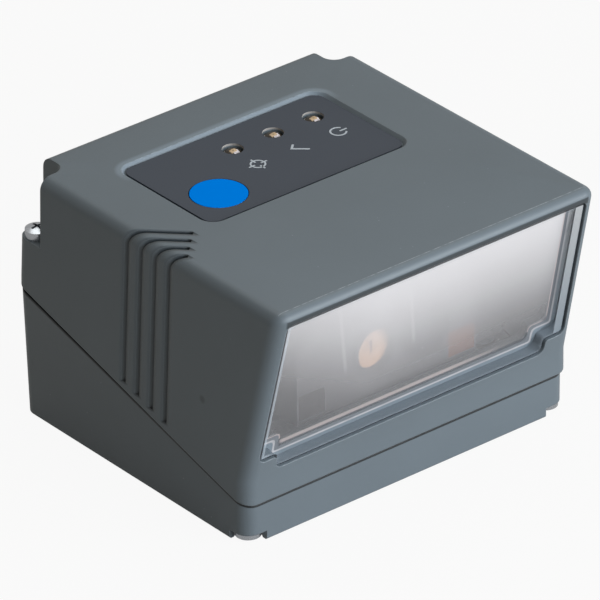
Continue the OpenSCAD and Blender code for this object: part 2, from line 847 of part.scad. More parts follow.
// A ribbon whose side view is drawn by its children, with +X of the drawing to the back
module ribbon(w)
    translate([-w / 2, 0, 0]) rotate([90, 0, 90]) linear_extrude(w) children();

module quarter_bend(r, turn) rotate([0, 0, turn])
    intersection() {
        difference() {
            circle(r);
            circle(r - flex_t);
        }
        square(r);
    }

// Ribbon from the panel board, down the back, to its socket on the main board
module panel_flex() color(ribbon_colour) place() translate([panel_flex_x, 0, 0]) ribbon(flex_w) {
    start = panel_board_u + panel_board_d / 2 - panel_flex_lap;
    back = panel_flex_u - panel_bend_r;
    translate([start, panel_board_under - flex_t]) square([back - start, flex_t]);
    translate([panel_flex_u - flex_t, socket_top + panel_bend_r])
        square([flex_t, panel_board_under - socket_top - 2 * panel_bend_r]);
    translate([panel_socket_u, socket_top]) square([back - panel_socket_u, flex_t]);
    translate([back, panel_board_under - panel_bend_r]) quarter_bend(panel_bend_r, 0);
    translate([back, socket_top + panel_bend_r]) quarter_bend(panel_bend_r, 270);
}

module panel_flex_socket() color(socket_colour) place()
    translate([panel_flex_x - socket_w / 2, panel_socket_u - socket_d / 2, board_top])
        cube([socket_w, socket_d, socket_h]);

// Ribbon from the sensor board to its socket on the main board
module engine_flex() color(ribbon_colour) place() ribbon(flex_w) {
    turn_u = sensor_board_back_u + engine_bend_r;
    translate([sensor_board_back_u, socket_top + engine_bend_r])
        square([flex_t, engine_z + engine_flex_rise - socket_top - engine_bend_r]);
    translate([turn_u, socket_top]) square([engine_socket_u - turn_u, flex_t]);
    translate([turn_u, socket_top + engine_bend_r]) quarter_bend(engine_bend_r, 180);
}

module engine_flex_socket() color(socket_colour) place()
    translate([-socket_w / 2, engine_socket_u - socket_d / 2, board_top])
        cube([socket_w, socket_d, socket_h]);

module along_optics(x, u) translate([x, u, optics_z]) rotate([-90, 0, 0]) children();

// Casting that carries the camera, the aimer and the lamps
module engine_frame() color(dark_colour) place()
    difference() {
        translate([-engine_w / 2, engine_u, engine_z]) cube([engine_w, engine_d, engine_h]);
        for (dir = [-1, 1])
            translate([dir * engine_w / 2, engine_u, engine_z + engine_h]) rotate([0, 45, 0])
                cube([engine_chamfer, 3 * engine_d, engine_chamfer], center = true);
        along_optics(camera_x, engine_u - 1) cylinder(r = camera_r, h = far);
        translate([camera_x - sensor_bay_w / 2, engine_back_u - sensor_bay_d, optics_z - sensor_bay_h / 2])
            cube([sensor_bay_w, sensor_bay_d + 1, sensor_bay_h]);
        along_optics(aimer_x, engine_u - 1) cylinder(r = aimer_r, h = aimer_l + 1);
        for (dir = [-1, 1])
            translate([dir * lamp_pitch / 2 - lamp_w / 2, engine_u - 1, lamp_z - lamp_h / 2])
                cube([lamp_w, 1 + lamp_lens_t + lamp_bay_d, lamp_h]);
        for (x = [-engine_screw_x, engine_screw_x])
            translate([x, bracket_post_u, engine_z - 1])
                cylinder(r = small_r, h = 1 + engine_tap_l + tap_gap);
    }

module camera_barrel() color(dark_colour) place()
    difference() {
        along_optics(camera_x, engine_u - barrel_out) cylinder(r = camera_r, h = camera_l + barrel_out);
        along_optics(camera_x, engine_u - barrel_out - lap)
            cylinder(r1 = camera_bore, r2 = camera_bore - hood_taper, h = barrel_out + front_lens_in + lap);
        along_optics(camera_x, engine_u - 1) cylinder(r = camera_stop_r, h = far);
        along_optics(camera_x, engine_u + front_lens_in) cylinder(r = camera_bore, h = front_lens_t);
        along_optics(camera_x, engine_u + rear_lens_in) cylinder(r = camera_bore, h = far);
    }

// Lens with both faces domed
module round_lens(r, t) intersection() {
    dome_r = 2.2 * r;
    cylinder(r = r, h = t);
    translate([0, 0, dome_r]) sphere(dome_r);
    translate([0, 0, t - dome_r]) sphere(dome_r);
}

module camera_front_lens() color(glass_colour) place()
    along_optics(camera_x, engine_u + front_lens_in) round_lens(camera_bore, front_lens_t);

module camera_rear_lens() color(glass_colour) place()
    along_optics(camera_x, engine_u + rear_lens_in) round_lens(camera_bore, rear_lens_t);

module image_sensor() color(chip_colour) place()
    translate([camera_x - sensor_w / 2, engine_back_u - sensor_t, optics_z - sensor_h / 2])
        cube([sensor_w, sensor_t, sensor_h]);

module sensor_board() color(board_colour) place()
    translate([-sensor_board_w / 2, engine_back_u, engine_z + sensor_board_lift])
        cube([sensor_board_w, board_t, sensor_board_h]);

module aimer_barrel() color(dark_colour) place()
    difference() {
        along_optics(aimer_x, engine_u - barrel_out) cylinder(r = aimer_r, h = aimer_l + barrel_out);
        along_optics(aimer_x, engine_u - 1)
            cylinder(r = aimer_disc_r, h = 1 + aimer_disc_in + aimer_disc_t);
        along_optics(aimer_x, engine_u + emitter_in - emitter_gap) cylinder(r = emitter_r, h = far);
        along_optics(aimer_x, engine_u) cylinder(r = aimer_stop_r, h = far);
    }

// Disc with an upright slit that shapes the aiming light
module aimer_disc() color(disc_colour) place()
    difference() {
        along_optics(aimer_x, engine_u + aimer_disc_in) cylinder(r = aimer_disc_r, h = aimer_disc_t);
        translate([aimer_x - slit_w / 2, engine_u, optics_z - slit_h / 2]) cube([slit_w, engine_d, slit_h]);
    }

module aimer_emitter() color(steel_colour) place()
    along_optics(aimer_x, engine_u + emitter_in) cylinder(r = emitter_r, h = aimer_l - emitter_in);

module lamp_lens(dir) color(glass_colour) place()
    translate([dir * lamp_pitch / 2 - lamp_w / 2, engine_u, lamp_z - lamp_h / 2])
        cube([lamp_w, lamp_lens_t, lamp_h]);
module lamp_lens_left() lamp_lens(-1);
module lamp_lens_right() lamp_lens(1);

module lamp(dir) color(lamp_colour) place()
    translate([dir * lamp_pitch / 2 - lamp_chip_w / 2, engine_u + lamp_lens_t + lamp_bay_d - lamp_chip_t,
        lamp_z - lamp_chip_w / 2])
        cube([lamp_chip_w, lamp_chip_t, lamp_chip_w]);
module lamp_left() lamp(-1);
module lamp_right() lamp(1);

// Plate that carries the engine on two posts of the base
module engine_bracket() color(steel_colour) place()
    difference() {
        translate([0, bracket_post_u, bracket_z]) linear_extrude(bracket_t) {
            round_rect(2 * bracket_post_x + bracket_ear, bracket_ear_d, bracket_corner_r);
            translate([-bracket_w / 2, -bracket_ear_d / 2])
                square([bracket_w, engine_back_u - bracket_post_u + bracket_ear_d / 2]);
        }
        for (x = [-bracket_post_x, -engine_screw_x, engine_screw_x, bracket_post_x])
            translate([x, bracket_post_u, bracket_z - lap])
                cylinder(r = small_r + small_gap, h = bracket_t + 2 * lap);
    }

module engine_screws() color(steel_colour) place()
    for (x = [-engine_screw_x, engine_screw_x])
        translate([x, bracket_post_u, bracket_z]) rotate([180, 0, 0]) small_screw(bracket_t + engine_tap_l);

module bracket_screws() color(steel_colour) place()
    for (x = [-bracket_post_x, bracket_post_x])
        translate([x, bracket_post_u, bracket_z + bracket_t]) small_screw(bracket_t + post_tap_l);

module main_board() color(board_colour) place()
    difference() {
        translate([0, main_u, main_z]) linear_extrude(board_t) round_rect(main_w, main_d, board_corner_r);
        for (x = [-main_post_x, main_post_x], u = main_post_u)
            translate([x, u, main_z - 1]) cylinder(r = small_r + small_gap, h = board_t + 2);
    }

module main_board_screws() color(steel_colour) place()
    for (x = [-main_post_x, main_post_x], u = main_post_u)
        translate([x, u, board_top]) small_screw(board_t + main_tap_l);

module processor() color(chip_colour) place()
    translate([processor_x - processor_w / 2, main_u + chip_row - processor_w / 2, board_top])
        cube([processor_w, processor_w, processor_t]);

module memory_chip() color(chip_colour) place()
    translate([memory_x - memory_w / 2, main_u + chip_row - memory_d / 2, board_top])
        cube([memory_w, memory_d, memory_t]);

module power_coil() color(chip_colour) place()
    translate([coil_x, main_u + coil_row, board_top]) cylinder(r = coil_r, h = coil_h);

module capacitors() color(capacitor_colour) place()
    for (i = [0 : 1])
        translate([capacitor_x + i * capacitor_pitch, main_u + capacitor_row, board_top])
            cylinder(r = capacitor_r, h = capacitor_h);

module beeper() color(dark_colour) place()
    translate([beeper_x, main_u + beeper_row, board_top]) difference() {
        cylinder(r = beeper_r, h = beeper_h);
        translate([0, 0, beeper_h - beeper_port_deep]) cylinder(r = beeper_port_r, h = beeper_h);
    }

// Header that the cord's wires plug into, open to the back
module cord_header() color(socket_colour) place()
    translate([inlet_x - header_w / 2, header_u, board_top])
        difference() {
            cube([header_w, header_d, header_h]);
            translate([header_wall, header_wall, header_wall])
                cube([header_w - 2 * header_wall, header_d, header_h - 2 * header_wall]);
        }

// Rubber grommet that grips the wall of the base between two flanges
module cord_grommet() color(dark_colour) place()
    translate([inlet_x, 0, inlet_z]) rotate([-90, 0, 0])
        difference() {
            union() {
                translate([0, 0, inlet_inner_u - inlet_inner_t])
                    cylinder(r = inlet_flange_r, h = inlet_inner_t);
                translate([0, 0, inlet_inner_u - lap])
                    cylinder(r = inlet_neck_r, h = inlet_face_u - inlet_inner_u);
                translate([0, 0, inlet_face_u - inlet_flange_t])
                    cylinder(r = inlet_flange_r, h = inlet_flange_t);
            }
            cylinder(r = inlet_r, h = far);
        }

// Threaded inserts, open downwards, with their cores at the thread's inner radius
module mounting_inserts() color(brass_colour) place()
    for (spot = mount_spots)
        translate([spot[0], spot[1], insert_lift])
            difference() {
                cylinder(r = insert_r, h = insert_l);
                translate([0, 0, -lap]) cylinder(r = mount_r, h = insert_l + 2 * lap);
            }

base_shell();
top_cover();
case_seal();
rear_screws();
front_screws();
window();
window_bond();
panel_overlay();
trigger_key();
switch_plunger();
switch_body();
status_light_left();
status_light_middle();
status_light_right();
panel_board();
panel_board_screws();
panel_flex();
engine_frame();
camera_barrel();
camera_front_lens();
camera_rear_lens();
image_sensor();
sensor_board();
aimer_barrel();
aimer_disc();
aimer_emitter();
lamp_lens_left();
lamp_lens_right();
lamp_left();
lamp_right();
engine_bracket();
engine_screws();
bracket_screws();
engine_flex();
main_board();
main_board_screws();
processor();
memory_chip();
power_coil();
capacitors();
beeper();
cord_header();
engine_flex_socket();
panel_flex_socket();
cord_grommet();
mounting_inserts();
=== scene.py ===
import json
import math

import bpy
import bmesh
from mathutils import Matrix, Vector


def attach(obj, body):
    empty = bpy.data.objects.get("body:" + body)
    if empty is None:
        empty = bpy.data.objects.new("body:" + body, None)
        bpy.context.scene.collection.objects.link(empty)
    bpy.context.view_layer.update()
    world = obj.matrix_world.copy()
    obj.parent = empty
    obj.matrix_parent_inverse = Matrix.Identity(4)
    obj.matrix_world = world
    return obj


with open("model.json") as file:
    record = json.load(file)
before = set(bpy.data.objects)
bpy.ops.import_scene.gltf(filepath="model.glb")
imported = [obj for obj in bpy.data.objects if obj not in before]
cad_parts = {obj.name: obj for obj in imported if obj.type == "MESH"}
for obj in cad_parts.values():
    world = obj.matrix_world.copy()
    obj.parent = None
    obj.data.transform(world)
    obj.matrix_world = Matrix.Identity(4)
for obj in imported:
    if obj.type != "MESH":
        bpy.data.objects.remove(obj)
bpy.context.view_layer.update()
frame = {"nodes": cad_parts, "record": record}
nodes = frame["nodes"]
MM = 0.001

# Sizes that the pieces share with the CAD model, in millimetres
FRONT_Y = -17.935
CASE_H = 31.4
APRON_H = 8.2
FRONT_LEAN = 5.6
LEAN = math.atan(FRONT_LEAN / (CASE_H - APRON_H))
PART_FRONT_Z, PART_SLOPE = 5.1, 11.3 / 41.2
SIDE_X = 23.75
NOSE_U = -4.33
DIMPLE = (-23.5, 7.5, 16.0)

# Panel on the top, its film and its three lights
OVERLAY_Z = 31.15
PANEL_X, PANEL_U = -0.6, 24.4
PANEL_HALF_W, PANEL_HALF_D, PANEL_R = 14.6, 8.5, 1.9
LIGHT_X = (-2.0, 3.85, 9.7)
LIGHT_U = 28.3
LIGHT_BOX = 2.9

# Grooves of the left side: the first one's place, their step, reach over the top and foot
GROOVE_U, GROOVE_PITCH, GROOVE_LAST = 21.6, 2.45, 3
GROOVE_REACH, GROOVE_FOOT = 5.9, 1.1

# Window on its slope: half width at its foot and how it tapers, foot, top, and the corner steps
WINDOW_HALF, WINDOW_TAPER = 22.25, 0.0305
WINDOW_LOW, WINDOW_HIGH = 0.8, 22.42
STEP_X, STEP_RISE = 19.55, 1.85
PANE_FRONT, PANE_BACK = 0.4, 1.68
LEDGE_FRONT, LEDGE_DEEP, LEDGE_W = 1.95, 1.4, 1.4
RIM, BEAD = 0.68, 0.26

# Painted reflection on the pane: the share of cover of its sheen from foot to top, and two faint
# upright painted reflections, each with its x at its foot and top and its lower and upper end on
# the slope
SHEEN = ((0.0, 0.19), (0.19, 0.25), (0.39, 0.42), (0.59, 0.64), (0.8, 0.82), (1.0, 0.92))
SHEEN_RISE = 21.5
REFLECTIONS = ((-9.7, -12.4, 9.6, 19.9), (0.1, -1.9, 9.8, 18.1))
REFLECTION_HALF = 0.22

# Printed signs: millimetres in one unit of a sign, how far they stand in front of their lights
# and to the left of them, the ink's height over the film and its thickness, and the width of a
# stroke in units of a sign
SIGN_SCALE = 1.35
SIGN_OUT, SIGN_SIDE = 4.6, 0.1
INK_LIFT, INK_THICK = 0.004, 0.01
STROKE, TICK_STROKE = 0.16, 0.2

# Camera: sensor width, and the photograph's width in pixels, to which its focal length is given
SENSOR_W, PHOTO_W = 36, 600

# Bend under which a mesh is shaded smooth, and the reach that joins its split corners, in metres
SMOOTH_BEND = math.radians(26)
SPLIT_REACH = 0.0000005

# Floor a hair under the foot, and the part's middle, at which the lamps aim, in metres
FLOOR_Z = -0.00002
PART_MIDDLE = (0, 0, 0.015)


def mm(x, u, z):
    """Point across, back from the lower front face and up, in metres in the model's frame"""
    return Vector((x * MM, (u + FRONT_Y) * MM, z * MM))


def add_camera(azimuth, elevation, roll, across, rise, distance, focal_px):
    """Camera at the photograph's viewing angle: its angles in degrees, how far the middle of the
    front's foot stands right of the picture's middle and over it, and its distance, all three in
    millimetres, and its focal length in the photograph's pixels"""
    a, e, r = (math.radians(v) for v in (azimuth, elevation, roll))
    back = Vector((math.sin(a) * math.cos(e), -math.cos(a) * math.cos(e), math.sin(e)))
    level = Vector((math.cos(a), math.sin(a), 0))
    plumb = back.cross(level)
    right = math.cos(r) * level + math.sin(r) * plumb
    up = -math.sin(r) * level + math.cos(r) * plumb
    spot = -across * right - rise * up + distance * back
    data = bpy.data.cameras.new("photo_camera")
    data.sensor_width = SENSOR_W
    data.lens = focal_px * SENSOR_W / PHOTO_W
    data.clip_start, data.clip_end = 0.05, 10
    camera = bpy.data.objects.new("photo_camera", data)
    bpy.context.scene.collection.objects.link(camera)
    turn = Matrix((right, up, back)).transposed().to_4x4()
    camera.matrix_world = Matrix.Translation(mm(*spot)) @ turn
    bpy.context.scene.camera = camera


add_camera(azimuth=-39.131, elevation=29.703, roll=-0.734, across=12.332, rise=-20.061,
           distance=896.406, focal_px=8000)


# Small helpers for node trees
def srgb(r, g, b):
    def line(v):
        v /= 255
        return v / 12.92 if v <= 0.04045 else ((v + 0.055) / 1.055) ** 2.4
    return (line(r), line(g), line(b), 1)


class Tree:
    """A material's node tree with short ways to add and join nodes"""

    def __init__(self, name):
        self.material = bpy.data.materials.new(name)
        self.material.use_nodes = True
        self.tree = self.material.node_tree
        self.shader = self.tree.nodes["Principled BSDF"]

    def add(self, kind, **values):
        node = self.tree.nodes.new("ShaderNode" + kind)
        for key, value in values.items():
            if key in node.inputs:
                node.inputs[key].default_value = value
            else:
                setattr(node, key, value)
        return node

    def join(self, out, socket):
        self.tree.links.new(out, socket)

    def place(self):
        return self.add("TexCoord").outputs["Object"]

    def noise(self, scale, detail=2.0, rough=0.5):
        node = self.add("TexNoise", Scale=scale, Detail=detail, Roughness=rough)
        self.join(self.place(), node.inputs["Vector"])
        return node.outputs["Fac"]

    def ramp(self, factor, *stops):
        node = self.add("ValToRGB")
        while len(node.color_ramp.elements) < len(stops):
            node.color_ramp.elements.new(0.5)
        for element, (spot, colour) in zip(node.color_ramp.elements, stops):
            element.position = spot
            element.color = colour if len(colour) == 4 else (*colour, 1)
        self.join(factor, node.inputs["Fac"])
        return node.outputs["Color"]

    def feed(self, pairs):
        """Give each socket its constant or join its link"""
        for value, socket in pairs:
            if isinstance(value, (int, float, tuple)):
                socket.default_value = value
            else:
                self.join(value, socket)

    def math(self, how, a, b=0.5, c=0.5):
        node = self.add("Math", operation=how)
        self.feed(zip((a, b, c), node.inputs))
        return node.outputs[0]

    def minus(self, a, b):
        return self.math("SUBTRACT", a, b)

    def times(self, a, b):
        return self.math("MULTIPLY", a, b)

    def size(self, a):
        return self.math("ABSOLUTE", a)

    def flip(self, a):
        """1 less the factor"""
        return self.math("SUBTRACT", 1.0, a)

    def base(self):
        """What the shader's base colour is joined to"""
        return self.shader.inputs["Base Color"].links[0].from_socket

    def mix(self, factor, a, b):
        """Colour between a and b"""
        node = self.add("Mix", data_type="RGBA")
        self.feed(((factor, node.inputs[0]), (a, node.inputs[6]), (b, node.inputs[7])))
        return node.outputs[2]

    def axis(self, name):
        split = self.add("SeparateXYZ")
        self.join(self.place(), split.inputs[0])
        return split.outputs[name]

    def span(self, value, low, high, to_low=0.0, to_high=1.0):
        node = self.add("MapRange")
        ends = {"From Min": low, "From Max": high, "To Min": to_low, "To Max": to_high}
        for key, number in ends.items():
            node.inputs[key].default_value = number
        self.join(value, node.inputs["Value"])
        return node.outputs[0]

    def bump(self, height, strength, distance, edge=0.0):
        node = self.add("Bump", Strength=strength, Distance=distance)
        self.join(height, node.inputs["Height"])
        if edge:
            soft = self.add("Bevel", samples=6, Radius=edge)
            self.join(soft.outputs[0], node.inputs["Normal"])
        self.join(node.outputs[0], self.shader.inputs["Normal"])

    def cover(self, distance, dark):
        """Painted shade: a factor from ambient occlusion that falls to dark in gaps and grooves
        narrower than the distance
        """
        node = self.add("AmbientOcclusion", samples=8, only_local=True, Distance=distance)
        return self.span(node.outputs["AO"], 0.25, 0.85, dark, 1.0)

    def inside(self, value, low, high, soft=0.03):
        """1 where the value is between two limits, with narrow soft ends"""
        up = self.span(value, low - soft, low + soft)
        down = self.span(value, high - soft, high + soft, 1.0, 0.0)
        return self.times(up, down)

    def spot(self):
        """Across, back from the lower front face, and up, in millimetres"""
        x, y, z = (self.times(self.axis(name), 1000.0) for name in "XYZ")
        return x, self.minus(y, FRONT_Y), z

    def on_slope(self):
        """Across, up the window's slope, and square to it into the case, in millimetres"""
        x, u, z = self.spot()
        z = self.minus(z, APRON_H)
        up = self.minus(self.times(z, math.cos(LEAN)), self.times(u, math.sin(LEAN)))
        deep = self.math("ADD", self.times(u, math.cos(LEAN)), self.times(z, math.sin(LEAN)))
        return x, up, deep

    def length(self, a, b):
        """Square root of the sum of two squares"""
        return self.math("SQRT", self.math("ADD", self.times(a, a), self.times(b, b)))

    def mask(self, *factors):
        """Product of several factors"""
        out = factors[0]
        for factor in factors[1:]:
            out = self.times(out, factor)
        return out

    def set(self, **values):
        for key, value in values.items():
            self.feed([(value, self.shader.inputs[key.replace("_", " ")])])


def plastic(name, colour, rough=0.5, grain=5200, depth=0.35, shade=0.06, edge=0.00012,
            specular=0.35):
    """Moulded plastic: a slow drift of shade, a fine moulded grain and softened edges"""
    t = Tree(name)
    low = tuple(c * (1 - shade) for c in colour[:3]) + (1,)
    high = tuple(min(1, c * (1 + shade)) for c in colour[:3]) + (1,)
    drift = t.noise(90, 3)
    fine = t.noise(grain, 3, 0.6)
    tone = t.math("ADD", t.times(drift, 0.65), t.times(fine, 0.35))
    t.set(Base_Color=t.ramp(tone, (0.3, low), (0.7, high)), Specular_IOR_Level=specular)
    t.set(Roughness=t.span(fine, 0.3, 0.7, rough - 0.06, rough + 0.06))
    t.bump(fine, depth, 0.00002, edge)
    return t


def metal(name, colour, rough):
    """Bare metal with a slow drift of shade and a fine brushed grain"""
    t = Tree(name)
    fine = t.noise(9000, 2)
    low = tuple(c * 0.9 for c in colour[:3]) + (1,)
    t.set(Base_Color=t.ramp(t.noise(700, 3), (0.35, low), (0.65, colour)), Metallic=1.0)
    t.set(Roughness=t.span(fine, 0.3, 0.7, rough - 0.07, rough + 0.09))
    t.bump(fine, 0.15, 0.00001, 0.00006)
    return t


def edges(t, radius):
    """1 along the sharp edges of a piece, within a radius of them"""
    soft = t.add("Bevel", samples=6, Radius=radius)
    dot = t.add("VectorMath", operation="DOT_PRODUCT")
    t.join(soft.outputs[0], dot.inputs[0])
    t.join(t.add("NewGeometry").outputs["Normal"], dot.inputs[1])
    return t.span(dot.outputs["Value"], 0.9, 0.99, 1.0, 0.0)


def specks(t, scale, size, patch_scale, patch):
    """1 in small round specks that stand only in some patches"""
    grit = t.add("TexVoronoi", Scale=scale, Randomness=1.0)
    t.join(t.place(), grit.inputs["Vector"])
    near = t.math("LESS_THAN", grit.outputs["Distance"], size)
    return t.times(near, t.math("GREATER_THAN", t.noise(patch_scale, 2), patch))


def groove_lips(t, x, u, z):
    """1 in the slanting grooves of the left side, falling off softly across their rounded lips"""
    line = t.math("ADD", t.math("ADD", x, SIDE_X), u)
    count = t.math("DIVIDE", t.minus(GROOVE_U, line), GROOVE_PITCH)
    count = t.math("MAXIMUM", t.math("ROUND", count), 0.0)
    count = t.math("MINIMUM", count, float(GROOVE_LAST))
    own = t.minus(GROOVE_U, t.times(count, GROOVE_PITCH))
    gap = t.times(t.size(t.minus(line, own)), math.sqrt(0.5))
    reach = t.minus(GROOVE_REACH, t.times(count, GROOVE_PITCH / 2))
    past = t.minus(t.math("ADD", x, SIDE_X), reach)
    foot = t.math("ADD", t.times(own, PART_SLOPE), PART_FRONT_Z + GROOVE_FOOT)
    low = t.minus(foot, z)
    across = t.span(gap, 0.2, 0.6, 1.0, 0.0)
    return t.mask(across, t.span(past, -0.05, 0.25, 1.0, 0.0), t.span(low, -0.05, 0.25, 1.0, 0.0))


def past_panel(t, x, u):
    """How far a point is outside the panel's rounded outline, in millimetres"""
    over_x = t.minus(t.size(t.minus(x, PANEL_X)), PANEL_HALF_W - PANEL_R)
    over_u = t.minus(t.size(t.minus(u, PANEL_U)), PANEL_HALF_D - PANEL_R)
    far = t.length(t.math("MAXIMUM", over_x, 0.0), t.math("MAXIMUM", over_u, 0.0))
    near = t.math("MINIMUM", t.math("MAXIMUM", over_x, over_u), 0.0)
    return t.minus(t.math("ADD", far, near), PANEL_R)


def shell_material():
    """Grey moulding with a fine grain and a few specks of dust, with painted shade in its joint,
    gaps, grooves, ledge, one small dimple and over the window, and painted highlights on its edges
    and the sunk panel's back slope
    """
    t = plastic("shell_grey", srgb(104, 113, 119), 0.42, 5200, 0.3, 0.04, 0.0002, 0.45)
    x, u, z = t.spot()
    _, up, deep = t.on_slope()
    side = t.size(x)

    # Paler marks: dust, the mould's witness line, a painted highlight on the sunk panel's back
    # slope, and painted highlights along the edges
    tone = t.mix(t.times(specks(t, 900, 0.055, 260, 0.62), 0.4), t.base(), srgb(190, 196, 200))
    witness = t.mask(t.inside(u, NOSE_U - 0.05, NOSE_U + 0.05), t.math("GREATER_THAN", z, 31.2),
                     t.span(t.noise(1400, 2), 0.3, 0.6))
    tone = t.mix(t.times(witness, 0.5), tone, srgb(196, 200, 204))
    slope_highlight = t.mask(t.span(past_panel(t, x, u), 0.5, 1.0, 0.5, 0.0),
                   t.span(u, PANEL_U + 5.0, PANEL_U + 7.5), t.math("GREATER_THAN", z, 30.95))
    tone = t.mix(slope_highlight, tone, srgb(150, 163, 174))
    tone = t.mix(t.times(edges(t, 0.00016), 0.3), tone, srgb(188, 194, 198))

    # Painted shade: on the ledge under the pane, in the dimple, along the joint, in the grooves,
    # over the window's top edge, and in gaps by ambient occlusion
    ledge_shade = t.mask(t.inside(deep, LEDGE_FRONT, LEDGE_FRONT + LEDGE_DEEP),
                   t.span(side, 21.5, 21.6, 1.0, 0.0), t.inside(up, 1.2, 22.2))
    tone = t.mix(t.times(ledge_shade, 0.8), tone, srgb(20, 18, 18))
    # Painted shade in a small dimple on the left side
    off = t.add("VectorMath", operation="DISTANCE")
    t.join(t.place(), off.inputs[0])
    off.inputs[1].default_value = mm(*DIMPLE)
    dimple_shade = t.span(off.outputs["Value"], 0.00025, 0.0006, 0.62, 1.0)
    # Painted shade along the joint between cover and base, reaching past its gap
    joint = t.minus(z, t.math("ADD", t.times(u, PART_SLOPE), PART_FRONT_Z))
    line = t.flip(t.times(t.inside(joint, -0.4, 0.18, 0.03), 0.92))
    # Painted shade in the grooves of the left side
    groove = groove_lips(t, x, u, z)
    # Painted shade in a band over the window's top edge
    brow_shade = t.mask(t.inside(up, WINDOW_HIGH - 0.3, WINDOW_HIGH + 0.55, 0.06),
                  t.span(deep, 0.3, 0.6, 1.0, 0.0), t.span(side, 21.6, 21.8, 1.0, 0.0))
    shade = t.mask(dimple_shade, line, t.flip(t.times(groove, 0.25)), t.flip(t.times(brow_shade, 0.72)),
                   t.cover(0.0007, 0.2))
    t.set(Base_Color=t.mix(shade, (0.004, 0.004, 0.004, 1), tone))

    # Grain on the outside only, over the rounded lips of the grooves
    grain = t.shader.inputs["Normal"].links[0].from_node
    inner = t.mask(t.math("GREATER_THAN", deep, 1.0), t.math("LESS_THAN", side, 22.6),
                   t.math("LESS_THAN", z, 30.5), t.math("LESS_THAN", u, 40.5))
    height = grain.inputs["Height"].links[0].from_socket
    t.join(t.times(height, t.flip(inner)), grain.inputs["Height"])
    lips = t.add("Bump", Strength=1.0, Distance=0.00025)
    t.join(t.flip(groove), lips.inputs["Height"])
    t.join(grain.inputs["Normal"].links[0].from_socket, lips.inputs["Normal"])
    t.join(lips.outputs[0], grain.inputs["Normal"])
    return t


def window_edge(t):
    """Place on the slope, the window's half width there, and how far a point is inside the
    step in its corner and inside its whole outline, in millimetres"""
    x, up, deep = t.on_slope()
    side = t.size(x)
    half = t.minus(WINDOW_HALF, t.times(t.minus(up, WINDOW_LOW), WINDOW_TAPER))
    corner = t.math("SMOOTH_MAX", t.minus(STEP_X, side), t.minus(up, WINDOW_LOW + STEP_RISE), 1.0)
    edge = t.math("SMOOTH_MIN", t.minus(half, side), t.minus(up, WINDOW_LOW), 0.8)
    edge = t.math("MINIMUM", edge, t.minus(WINDOW_HIGH, up))
    return x, up, deep, half, corner, t.math("SMOOTH_MIN", edge, corner, 0.5)


def rim_tone(t, up):
    """Grey of the rim and the bond under it, with painted light making it paler towards the top"""
    return t.mix(t.span(up, 3.0, 22.0), srgb(124, 134, 142), srgb(180, 179, 177))


def bond_material():
    """Adhesive seen through the pane: the rim's grey, a bead painted bright as a highlight and a
    darker strip inside it
    """
    t = plastic("bond_grey", srgb(118, 120, 124), 0.6, 4000, 0.2, 0.05, 0, 0.2)
    _, up, _, _, _, edge = window_edge(t)
    tone = t.mix(t.span(edge, RIM - 0.03, RIM + 0.03), rim_tone(t, up), t.base())
    patchy = t.span(t.noise(300, 2), 0.25, 0.5, 0.55, 1.0)
    bead_highlight = t.mask(t.inside(edge, RIM, RIM + BEAD, 0.05), patchy)
    t.set(Base_Color=t.mix(bead_highlight, tone, srgb(190, 187, 188)))
    return t


def painted_sheen(t, x, up):
    """Share of the pane's back that its painted sheen, a reflection, covers, fading towards the
    foot and the left
    """
    left = t.span(x, -20.5, -6.0, 7.4, 0.0)
    right = t.span(x, 4.0, 20.0, 0.0, 0.5)
    rise = t.span(t.minus(t.minus(up, left), right), 0.0, SHEEN_RISE)
    sheen = t.ramp(rise, *((spot, (share,) * 3) for spot, share in SHEEN))
    for foot_x, top_x, low, high in REFLECTIONS:
        slant = t.span(up, low, high, foot_x, top_x)
        across = t.inside(t.minus(x, slant), -REFLECTION_HALF, REFLECTION_HALF, 0.12)
        pale = t.mask(across, t.inside(up, low, high, 0.8))
        sheen = t.mix(t.times(pale, 0.16), sheen, (0.95, 0.95, 0.95, 1))
    return sheen


def pane_back(t, x, up, edge):
    """Colour and cover of the pane's back: the painted sheen, a dark strip along the foot and pale
    lines painted as highlights
    """
    low = t.span(up, 3.3, 3.4, 1.0, 0.0)
    strip = t.mask(low, t.inside(edge, LEDGE_W, LEDGE_W + 0.45))
    # Painted highlights: a pale line along the foot and one along the ledge's edge
    foot = t.mask(t.inside(up, 2.58, 3.1, 0.12), t.span(x, 7.0, 16.0, 0.9, 0.0),
                  t.span(edge, 1.4, 1.9))
    line = t.mask(t.inside(edge, LEDGE_W, LEDGE_W + 0.15, 0.05), t.flip(low))
    pale = t.math("MAXIMUM", foot, line)
    tone = t.mix(strip, srgb(228, 222, 221), srgb(116, 117, 120))
    tone = t.mix(pale, tone, srgb(226, 208, 204))
    alpha = t.mix(strip, painted_sheen(t, x, up), (0.6, 0.6, 0.6, 1))
    alpha = t.mix(t.times(pale, 0.75), alpha, (0.75, 0.75, 0.75, 1))
    alpha = t.mix(t.span(edge, LEDGE_W - 0.06, LEDGE_W), (0, 0, 0, 1), alpha)
    return tone, t.mix(t.times(specks(t, 700, 0.05, 180, 0.6), 0.6), alpha, (0.9, 0.9, 0.9, 1))


